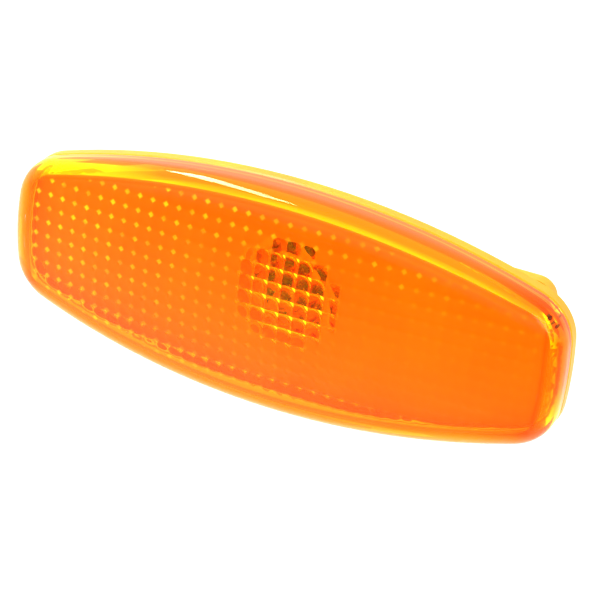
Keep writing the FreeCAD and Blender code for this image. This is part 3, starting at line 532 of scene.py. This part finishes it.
@dataclass(frozen=True)
class Silicone(Finish):
    """Red-brown silicone of the holder's seal.

    Args:
        name: The material's name.
        slot: The record's slot; not used.
        dark: Deeper colour.
        light: Paler colour, where it has bloomed.
    """

    name: str = "seal_silicone"
    slot: str = "seal_rubber"
    dark: Colour = (0.16, 0.03, 0.014)
    light: Colour = (0.24, 0.055, 0.03)

    def draw(self, graph: Graph) -> None:
        """Adds a dusty bloom.

        Args:
            graph: The empty graph of the material.
        """
        bloom = graph.noise(420.0, 4.0)
        graph.shade(
            Base_Color=graph.blend(graph.between(bloom, 0.35, 0.7, 0.0, 1.0), self.dark, self.light),
            Roughness=graph.between(bloom, 0.3, 0.7, 0.5, 0.7),
            Normal=graph.bump(bloom, 0.1, 0.0001),
        )


@dataclass(frozen=True)
class Metal(Finish):
    """Drawn or rolled metal.

    Args:
        name: The material's name.
        slot: The record's slot; not used.
        dark: Colour of the dull patches.
        light: Colour of the bright patches.
        smooth: Roughness of the bright patches.
        dull: Roughness of the dull patches.
    """

    name: str
    slot: str
    dark: Colour
    light: Colour
    smooth: float = 0.22
    dull: float = 0.4

    def draw(self, graph: Graph) -> None:
        """Adds patches of tarnish.

        Args:
            graph: The empty graph of the material.
        """
        tarnish = graph.noise(700.0, 4.0, 0.4)
        amount = graph.between(tarnish, 0.35, 0.7, 0.0, 1.0)
        graph.shade(
            Base_Color=graph.blend(amount, self.light, self.dark),
            Roughness=graph.between(amount, 0.0, 1.0, self.smooth, self.dull),
            Metallic=1.0,
        )


@dataclass(frozen=True)
class BulbGlass(Finish):
    """Clear blown glass.

    Args:
        name: The material's name.
        slot: The record's slot; not used.
    """

    name: str = "bulb_glass"
    slot: str = "bulb_clear"

    def draw(self, graph: Graph) -> None:
        """Adds nearly colourless glass.

        Args:
            graph: The empty graph of the material.
        """
        wave = graph.noise(260.0, 2.0)
        graph.shade(
            Base_Color=graph.blend(wave, (0.96, 0.97, 0.96), WHITE),
            Roughness=graph.between(wave, 0.3, 0.7, 0.0, 0.03),
            IOR=1.5,
            Transmission_Weight=1.0,
        )


@dataclass(frozen=True)
class StudioPaper(Finish):
    """White paper of the studio floor.

    Args:
        name: The material's name.
        slot: Not used by the floor.
    """

    name: str = "studio_paper"
    slot: str = ""

    def draw(self, graph: Graph) -> None:
        """Adds a barely mottled white.

        Args:
            graph: The empty graph of the material.
        """
        mottle = graph.noise(3.0, 2.0)
        graph.shade(
            Base_Color=graph.blend(mottle, (0.9, 0.9, 0.9), (0.92, 0.92, 0.92)),
            Roughness=graph.between(mottle, 0.0, 1.0, 0.85, 0.95),
        )


def make_piece(name: str, points: Array, faces: Array, crease: float) -> bpy.types.Object:
    """Makes a mesh object from arrays.

    Args:
        name: Name of the object.
        points: Places of the vertices in metres, one row each.
        faces: Vertex numbers, one face a row.
        crease: Edges that bend more than this, in degrees, stay sharp.

    Returns:
        The new object, linked to the scene.
    """
    mesh = bpy.data.meshes.new(name)
    sides = faces.shape[1]
    mesh.vertices.add(len(points))
    mesh.vertices.foreach_set("co", points.astype(np.float32).ravel())
    mesh.loops.add(faces.size)
    mesh.loops.foreach_set("vertex_index", faces.astype(np.int32).ravel())
    mesh.polygons.add(len(faces))
    mesh.polygons.foreach_set("loop_start", np.arange(0, faces.size, sides, dtype=np.int32))
    mesh.update(calc_edges=True)
    mesh.validate()
    mesh.shade_smooth()
    mesh.set_sharp_from_angle(angle=math.radians(crease))
    made = bpy.data.objects.new(name, mesh)
    bpy.context.scene.collection.objects.link(made)
    return made


@dataclass(frozen=True)
class BarrelOutline:
    """Barrel outline: two flat arcs, two end arcs and four round corners.

    Args:
        length: Length along X.
        height: Height along Z.
        long_radius: Radius of the top and bottom arcs.
        end_radius: Radius of the end arcs.
        corner_radius: Radius of the corners.
    """

    length: float = 99.99 * MM
    height: float = 39.99 * MM
    long_radius: float = 146.0 * MM
    end_radius: float = 72.0 * MM
    corner_radius: float = 8.5 * MM

    def corner(self) -> tuple[Array, float, float]:
        """Centre of the corner in the first quarter, and the angles where its arc starts and ends.

        The centre lies corner_radius inside both arcs, so it is where two circles about their centres meet.

        Returns:
            The centre, the angle at the end arc and the angle at the long arc.
        """
        long_centre = np.array([0.0, self.height / 2 - self.long_radius])
        end_centre = np.array([self.length / 2 - self.end_radius, 0.0])
        long_reach = self.long_radius - self.corner_radius
        end_reach = self.end_radius - self.corner_radius
        gap = end_centre - long_centre
        apart = np.hypot(*gap)
        along = (long_reach**2 - end_reach**2 + apart**2) / (2 * apart)
        aside = math.sqrt(long_reach**2 - along**2)
        unit = gap / apart
        centre = long_centre + along * unit + aside * np.array([unit[1], -unit[0]])
        at_end = math.atan2(*(centre - end_centre)[::-1])
        at_long = math.atan2(*(centre - long_centre)[::-1])
        return centre, at_end, at_long

    def inset(self, x: Array, z: Array) -> tuple[Array, Array, Array]:
        """How far places lie inside the outline.

        The distance is radius - |p - centre| for the nearest of the arcs.

        Args:
            x: Places along the lamp.
            z: Heights.

        Returns:
            The distance, and the two components of the outward normal at the nearest point.
        """
        centre, at_end, at_long = self.corner()
        px, pz = np.abs(x), np.abs(z)
        long_z = pz - (self.height / 2 - self.long_radius)
        end_x = px - (self.length / 2 - self.end_radius)
        corner_x, corner_z = px - centre[0], pz - centre[1]
        long_far = np.hypot(px, long_z)
        end_far = np.hypot(end_x, pz)
        corner_far = np.hypot(corner_x, corner_z)
        angle = np.arctan2(corner_z, corner_x)
        at_corner = (angle > at_end) & (angle < at_long)
        by_long = self.long_radius - long_far <= self.end_radius - end_far
        choices = [at_corner, by_long]
        distance = np.select(
            choices, [self.corner_radius - corner_far, self.long_radius - long_far], self.end_radius - end_far
        )
        safe_corner = np.maximum(corner_far, 1e-9)
        normal_x = np.select(choices, [corner_x / safe_corner, px / long_far], end_x / end_far)
        normal_z = np.select(choices, [corner_z / safe_corner, long_z / long_far], pz / end_far)
        return distance, normal_x * np.where(x < 0, -1, 1), normal_z * np.where(z < 0, -1, 1)


@dataclass(frozen=True)
class Lens:
    """Amber lens: crowned front, rolled shoulder, weld tongue and square pillows inside.

    Args:
        outline: Its barrel outline.
        front: Y of the front's highest point.
        joint: Y of the face that meets the housing.
        crown_length_radius: Radius of the front along the lamp.
        crown_height_radius: Radius of the front up and down.
        shoulder_radius: Radius of the rolled edge.
        wall: Thickness at the valleys in the middle.
        side_wall: Thickness of the side at the joint.
        optic_margin: Thickness of the side at the front.
        pitch: Size of a pillow.
        pillow_radius: Radius of a pillow.
        heart: X and Z of the place with the highest pillows, in front of the bulb as the photo sees it.
        fade_left: Share of the pillows' height that is lost towards the clip.
        fade_right: Share that is lost towards the hook.
        fade_from: Distance from that place where the loss starts.
        fade_to: Distance where it ends.
        steps: Mesh cells across a pillow.
        shoulder_steps: Mesh cells round the shoulder.
        seam: Size of the chamfer at the joint.
        tongue_margin: From the outline to the weld tongue.
        tongue_width: Thickness of the tongue.
        tongue_height: Reach of the tongue.
        crease: Edges that bend more, in degrees, stay sharp.
    """

    outline: BarrelOutline = field(default_factory=BarrelOutline)
    front: float = -11.795 * MM
    joint: float = -3.46 * MM
    crown_length_radius: float = 350.0 * MM
    crown_height_radius: float = 72.0 * MM
    shoulder_radius: float = 3.6 * MM
    wall: float = 2.0 * MM
    side_wall: float = 2.3 * MM
    optic_margin: float = 3.4 * MM
    pitch: float = 2.5 * MM
    pillow_radius: float = 1.9 * MM
    heart: tuple[float, float] = (3.5 * MM, 3.0 * MM)
    fade_left: float = 0.68
    fade_right: float = 0.66
    fade_from: float = 5.5 * MM
    fade_to: float = 11.0 * MM
    steps: int = 8
    shoulder_steps: int = 12
    seam: float = 0.3 * MM
    tongue_margin: float = 0.7 * MM
    tongue_width: float = 0.7 * MM
    tongue_height: float = 0.9 * MM
    crease: float = 25.0

    def crown(self, x: Array, z: Array) -> Array:
        """Front surface: y = front + H - sqrt((H - sag(x))^2 - z^2), sag(x) = L - sqrt(L^2 - x^2).

        Args:
            x: Places along the lamp.
            z: Heights.

        Returns:
            Y of the front.
        """
        sag = self.crown_length_radius - np.sqrt(self.crown_length_radius**2 - x**2)
        turned = self.crown_height_radius - sag
        return self.front + self.crown_height_radius - np.sqrt(turned**2 - z**2)

    def optics(self, x: Array, z: Array) -> Array:
        """Inner surface: y = front + wall + x^2/2L + z^2/2H + swell (1 - u^2) + swell (1 - v^2).

        u and v run from -1 to 1 across a pillow, and swell = pitch^2 / (8 pillow_radius). It is less away from
        the bulb, by the smooth step 3s^2 - 2s^3 of the distance, and at the border of the pillows.

        Args:
            x: Places along the lamp.
            z: Heights.

        Returns:
            Y of the pillows.
        """
        away = np.hypot(x - self.heart[0], z - self.heart[1])
        share = np.clip((away - self.fade_from) / (self.fade_to - self.fade_from), 0.0, 1.0)
        lost = np.where(x > 0, self.fade_right, self.fade_left) * share * share * (3 - 2 * share)
        distance, _, _ = self.outline.inset(x, z)
        whole = np.clip((distance - self.optic_margin) / self.pitch, 0.1, 1.0)
        swell = self.pitch**2 / (8 * self.pillow_radius) * (1 - lost) * whole
        base = self.front + self.wall + x**2 / (2 * self.crown_length_radius)
        base = base + z**2 / (2 * self.crown_height_radius)
        across = 2 * np.mod(x / self.pitch, 1.0) - 1
        upward = 2 * np.mod(z / self.pitch, 1.0) - 1
        return base + swell * (1 - across**2) + swell * (1 - upward**2)

    def hollow_inset(self, y: Array) -> Array:
        """Thickness of the drafted side at a depth, straight from side_wall at the joint to optic_margin."""
        share = (self.joint - y) / (self.joint - self.front)
        return self.side_wall + (self.optic_margin - self.side_wall) * share

    def grid(self) -> tuple[Array, Array, Array]:
        """Square grid of the optics, with the cells that lie inside the hollow.

        Returns:
            X and Z of the vertices in use, and the faces as vertex numbers.
        """
        step = self.pitch / self.steps
        columns = int(self.outline.length / 2 / step)
        rows = int(self.outline.height / 2 / step)
        x, z = np.meshgrid(np.arange(-columns, columns + 1) * step, np.arange(-rows, rows + 1) * step, indexing="ij")
        distance, _, _ = self.outline.inset(x, z)
        inside = distance > self.hollow_inset(self.optics(x, z)) + 0.1 * step
        numbers = np.arange(x.size).reshape(x.shape)
        corners = np.stack([numbers[:-1, :-1], numbers[:-1, 1:], numbers[1:, 1:], numbers[1:, :-1]], axis=-1)
        whole = inside.ravel()[corners].all(axis=-1)
        faces = corners[whole]
        used, compact = np.unique(faces, return_inverse=True)
        return x.ravel()[used], z.ravel()[used], compact.reshape(faces.shape)

    def border(self, faces: Array, count: int) -> tuple[Array, Array]:
        """Directed edges that have a face on one side only.

        Args:
            faces: Vertex numbers of the grid's faces.
            count: Number of vertices.

        Returns:
            First and second vertex of each edge.
        """
        first = faces.ravel()
        second = np.roll(faces, -1, axis=1).ravel()
        alone = ~np.isin(first * count + second, second * count + first)
        return first[alone], second[alone]

    def shoulder(self, foot_x: Array, foot_z: Array, out_x: Array, out_z: Array) -> list[tuple[Array, Array]]:
        """Sections of the rolled edge, a ball that touches both the side and the crown.

        The ball's centre is one radius inside the outline, and it meets the crown at
        d = R (1 + s / sqrt(1 + s^2)), where s is the crown's slope inwards.

        Args:
            foot_x: Outline points along the lamp.
            foot_z: Outline heights.
            out_x: Outward normals along the lamp.
            out_z: Outward normals up.

        Returns:
            Inset and depth of each ring from the side to the crown.
        """
        radius = self.shoulder_radius
        probe = 0.05 * MM

        def height(inset: Array) -> Array:
            """Y of the crown at an inset."""
            return self.crown(foot_x - out_x * inset, foot_z - out_z * inset)

        touch = np.full(foot_x.shape, 0.8 * radius)
        for _ in range(6):
            slope = (height(touch + probe) - height(touch - probe)) / (2 * probe)
            touch = radius * (1 + slope / np.sqrt(1 + slope**2))
        root = np.sqrt(1 + slope**2)
        centre = height(touch) + radius / root
        last = np.arctan2(1 / root, -slope / root)
        turns = np.linspace(0.0, 1.0, self.shoulder_steps + 1)
        return [(radius - radius * np.cos(t * last), centre - radius * np.sin(t * last)) for t in turns]

    def surface(self) -> tuple[Array, Array]:
        """Whole closed skin: pillows, side and tongue, shoulder and crown.

        Returns:
            Places of the vertices and the faces.
        """
        x, z, faces = self.grid()
        count = len(x)
        first, second = self.border(faces, count)
        edge = np.unique(first)
        distance, out_x, out_z = self.outline.inset(x[edge], z[edge])
        foot_x = x[edge] + out_x * distance
        foot_z = z[edge] + out_z * distance

        limit = np.full(edge.shape, self.side_wall)
        for _ in range(4):
            limit = self.hollow_inset(self.optics(foot_x - out_x * limit, foot_z - out_z * limit))
        inner_x, inner_z = x.copy(), z.copy()
        inner_x[edge] = foot_x - out_x * limit
        inner_z[edge] = foot_z - out_z * limit
        inner = np.stack([inner_x, self.optics(inner_x, inner_z), inner_z], axis=1)

        level = np.ones(edge.shape)
        far = self.tongue_margin + self.tongue_width
        deep = self.joint + self.tongue_height
        sections = [
            (self.side_wall, self.joint),
            (far, self.joint),
            (far, deep),
            (self.tongue_margin, deep),
            (self.tongue_margin, self.joint),
            (self.seam, self.joint),
            (0.0, self.joint - self.seam),
        ]
        rings = [(inset * level, depth * level) for inset, depth in sections]
        rolled = self.shoulder(foot_x, foot_z, out_x, out_z)
        rings += rolled[:-1]
        touch = rolled[-1][0]
        outer_x, outer_z = x.copy(), z.copy()
        outer_x[edge] = foot_x - out_x * touch
        outer_z[edge] = foot_z - out_z * touch
        outer = np.stack([outer_x, self.crown(outer_x, outer_z), outer_z], axis=1)

        ring_points = [np.stack([foot_x - out_x * i, d, foot_z - out_z * i], axis=1) for i, d in rings]
        points = np.concatenate([inner, outer, *ring_points])
        place = np.searchsorted(edge, first), np.searchsorted(edge, second)
        starts = [(first, second)]
        for number in range(len(rings)):
            base = 2 * count + number * len(edge)
            starts.append((base + place[0], base + place[1]))
        starts.append((count + first, count + second))
        bands = [
            np.stack([b, a, a_next, b_next], axis=1) for (a, b), (a_next, b_next) in zip(starts, starts[1:])
        ]
        return points, np.concatenate([faces, faces[:, ::-1] + count, *bands])

    def build(self) -> bpy.types.Object:
        """Makes the lens in place of its CAD node.

        Returns:
            The new object.
        """
        points, faces = self.surface()
        corners = points[faces]
        volume = np.einsum("ij,ij->", np.cross(corners[:, 0], corners[:, 1]), corners[:, 2])
        volume += np.einsum("ij,ij->", np.cross(corners[:, 0], corners[:, 2]), corners[:, 3])
        if volume < 0:
            faces = faces[:, ::-1]
        made = make_piece("lens_visual", points, faces, self.crease)
        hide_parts("lens")
        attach(made, "root")
        return made

    def dress(self, piece: bpy.types.Object) -> None:
        """Gives the lens its finish."""
        ClearAmber(self).put_on(piece)


@dataclass
class Filament:
    """Tungsten coil between the leads.

    Args:
        middle: Place of its middle.
        half_length: Half of its length along X.
        coil_radius: Radius of the coil's centre line.
        wire_radius: Radius of the wire.
        turns: Number of turns.
        steps: Mesh cells along a turn.
        sides: Mesh cells round the wire.
    """

    middle: tuple[float, float, float] = (0.0, -0.5 * MM, 0.0)
    half_length: float = 2.1 * MM
    coil_radius: float = 0.15 * MM
    wire_radius: float = 0.045 * MM
    turns: int = 14
    steps: int = 16
    sides: int = 8

    def surface(self) -> tuple[Array, Array]:
        """Tube along a helix: c(t) = (h(2t - 1), r cos 2 pi n t, r sin 2 pi n t), with round ends closed to a point.

        Returns:
            Places of the vertices and the faces.
        """
        count = self.turns * self.steps
        t = np.linspace(0.0, 1.0, count + 1)
        turn = 2 * np.pi * self.turns * t
        line = np.stack(
            [self.half_length * (2 * t - 1), self.coil_radius * np.cos(turn), self.coil_radius * np.sin(turn)], axis=1
        )
        ahead = np.gradient(line, axis=0)
        ahead /= np.linalg.norm(ahead, axis=1, keepdims=True)
        away = np.stack([np.zeros_like(turn), np.cos(turn), np.sin(turn)], axis=1)
        across = np.cross(ahead, away)
        angle = np.linspace(0.0, 2 * np.pi, self.sides, endpoint=False)
        size = np.full(count + 1, self.wire_radius)
        size[[0, -1]] = 1e-6
        ring = away[:, None, :] * np.cos(angle)[None, :, None] + across[:, None, :] * np.sin(angle)[None, :, None]
        points = line[:, None, :] + size[:, None, None] * ring + np.array(self.middle)
        numbers = np.arange(points.shape[0] * self.sides).reshape(-1, self.sides)
        beside = np.roll(numbers, -1, axis=1)
        faces = np.stack([numbers[:-1], beside[:-1], beside[1:], numbers[1:]], axis=-1).reshape(-1, 4)
        return points.reshape(-1, 3), faces

    def build(self) -> bpy.types.Object:
        """Makes the coil in place of the CAD rod.

        Returns:
            The new object.
        """
        made = make_piece("filament_coil", *self.surface(), 60.0)
        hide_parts("bulb_filament")
        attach(made, "root")
        return made

    def dress(self, piece: bpy.types.Object) -> None:
        """Gives the coil its finish."""
        Metal("tungsten", "filament_metal", (0.2, 0.2, 0.21), (0.38, 0.38, 0.4)).put_on(piece)


@dataclass
class MouldedParts:
    """Pieces that show as the CAD made them.

    Args:
        finishes: Finish of each CAD node by name.
    """

    finishes: dict[str, Finish] = field(
        default_factory=lambda: {
            "housing": MouldedAmber(),
            "fender_gasket": Foam(),
            "bulb_holder": FilledNylon(),
            "holder_seal": Silicone(),
            "contact_upper": Metal("tinned_brass", "contact_brass", (0.55, 0.42, 0.2), (0.8, 0.68, 0.42)),
            "contact_lower": Metal("tinned_brass", "contact_brass", (0.55, 0.42, 0.2), (0.8, 0.68, 0.42)),
            "bulb_glass": BulbGlass(),
            "bulb_lead_left": Metal("nickel_wire", "lead_metal", (0.42, 0.4, 0.37), (0.66, 0.63, 0.58)),
            "bulb_lead_right": Metal("nickel_wire", "lead_metal", (0.42, 0.4, 0.37), (0.66, 0.63, 0.58)),
        }
    )

    def dress(self, nodes: dict[str, bpy.types.Object]) -> None:
        """Gives each node its finish.

        Args:
            nodes: CAD nodes by name.
        """
        for name, finish in self.finishes.items():
            finish.put_on(nodes[name])
            log.info("dressed %s with %s", name, finish.name)


@dataclass(frozen=True)
class Softbox:
    """Area light that points at the side marker lamp.

    Args:
        name: Its name.
        place: Where it hangs.
        size: Width and height.
        power: Power in watts.
    """

    name: str
    place: tuple[float, float, float]
    size: tuple[float, float]
    power: float

    def build(self) -> None:
        """Hangs the softbox."""
        data = bpy.data.lights.new(self.name, "AREA")
        data.shape = "RECTANGLE"
        data.size, data.size_y = self.size
        data.energy = self.power
        lamp = bpy.data.objects.new(self.name, data)
        lamp.location = self.place
        lamp.rotation_mode = "QUATERNION"
        lamp.rotation_quaternion = Vector(self.place).to_track_quat("Z", "Y")
        bpy.context.scene.collection.objects.link(lamp)


@dataclass
class Studio:
    """White studio: floor, surroundings, two softboxes and the camera of the photo.

    Args:
        floor_level: Z of the floor.
        floor_size: Width of the floor.
        surround: Strength of the white surroundings.
        azimuth: Camera's turn to the right of the lamp's front, in degrees.
        elevation: Camera's height angle, in degrees.
        roll: Clockwise turn of the picture, in degrees.
        distance: From the camera to the point it looks at.
        focal: Focal length in millimetres on a 36 mm wide picture.
        aim: What the camera looks at, to the right of and above the lens's inner middle.
        depth: Y of the lens's inner middle.
        bounces: How often light may turn inside the clear pieces.
        softboxes: The area lights.
    """

    floor_level: float = -0.16
    floor_size: float = 6.0
    surround: float = 1.4
    azimuth: float = 23.12
    elevation: float = 27.07
    roll: float = 5.62
    distance: float = 349.88 * MM
    focal: float = 128.88
    aim: tuple[float, float] = (5.348 * MM, 1.728 * MM)
    depth: float = -9.8 * MM
    bounces: int = 24
    softboxes: tuple[Softbox, ...] = (
        Softbox("top_softbox", (-0.26, -0.1, 0.45), (0.36, 0.06), 3.0),
        Softbox("front_softbox", (0.35, -0.6, 0.25), (0.3, 0.3), 1.2),
    )

    def lay_floor(self) -> None:
        """Lays the white floor."""
        half = self.floor_size / 2
        corners = np.array([[-1.0, -1.0], [1.0, -1.0], [1.0, 1.0], [-1.0, 1.0]]) * half
        points = np.column_stack([corners, np.full(4, self.floor_level)])
        floor = make_piece("studio_floor", points, np.array([[0, 1, 2, 3]]), 30.0)
        StudioPaper().put_on(floor)

    def light(self) -> None:
        """Sets the white surroundings, seen at full white, and the softboxes."""
        world = bpy.data.worlds.new("white_surround")
        bpy.context.scene.world = world
        world.use_nodes = True
        tree = world.node_tree
        tree.nodes.clear()
        output = tree.nodes.new("ShaderNodeOutputWorld")
        path = tree.nodes.new("ShaderNodeLightPath")
        mix = tree.nodes.new("ShaderNodeMixShader")
        tree.links.new(path.outputs["Is Camera Ray"], mix.inputs[0])
        for inlet, strength in ((1, self.surround), (2, 1.0)):
            backdrop = tree.nodes.new("ShaderNodeBackground")
            backdrop.inputs["Color"].default_value = (*WHITE, 1.0)
            backdrop.inputs["Strength"].default_value = strength
            tree.links.new(backdrop.outputs[0], mix.inputs[inlet])
        tree.links.new(mix.outputs[0], output.inputs["Surface"])
        for softbox in self.softboxes:
            softbox.build()

    def set_camera(self) -> None:
        """Places the camera as the photo's was."""
        a, e, r = (math.radians(angle) for angle in (self.azimuth, self.elevation, self.roll))
        back = Vector((math.sin(a) * math.cos(e), -math.cos(a) * math.cos(e), math.sin(e)))
        right = Vector((math.cos(a), math.sin(a), 0.0))
        upward = back.cross(right)
        target = Vector((0.0, self.depth, 0.0)) + right * self.aim[0] + upward * self.aim[1]
        rolled_right = right * math.cos(r) + upward * math.sin(r)
        rolled_up = upward * math.cos(r) - right * math.sin(r)
        turn = Matrix((rolled_right, rolled_up, back)).transposed()
        data = bpy.data.cameras.new("camera")
        data.sensor_width = 36.0
        data.lens = self.focal
        data.clip_start = 0.01
        data.clip_end = 50.0
        camera = bpy.data.objects.new("camera", data)
        camera.matrix_world = Matrix.Translation(target + back * self.distance) @ turn.to_4x4()
        bpy.context.scene.collection.objects.link(camera)
        bpy.context.scene.camera = camera

    def build(self) -> None:
        """Sets up the whole studio."""
        self.lay_floor()
        self.light()
        self.set_camera()
        scene = bpy.context.scene
        scene.view_settings.view_transform = "Standard"
        scene.cycles.max_bounces = self.bounces
        scene.cycles.glossy_bounces = self.bounces
        scene.cycles.transmission_bounces = self.bounces


def main() -> None:
    """Builds the lamp's looks and the studio."""
    logging.basicConfig(level=logging.INFO, format="%(message)s")
    for old in list(bpy.data.objects):
        bpy.data.objects.remove(old)
    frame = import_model()
    lens = Lens()
    lens_piece = lens.build()
    lens.dress(lens_piece)
    log.info("built %s with %d faces", lens_piece.name, len(lens_piece.data.polygons))
    filament = Filament()
    coil = filament.build()
    filament.dress(coil)
    log.info("built %s with %d faces", coil.name, len(coil.data.polygons))
    MouldedParts().dress(frame["nodes"])
    Studio().build()


if __name__ == "__main__":
    main()
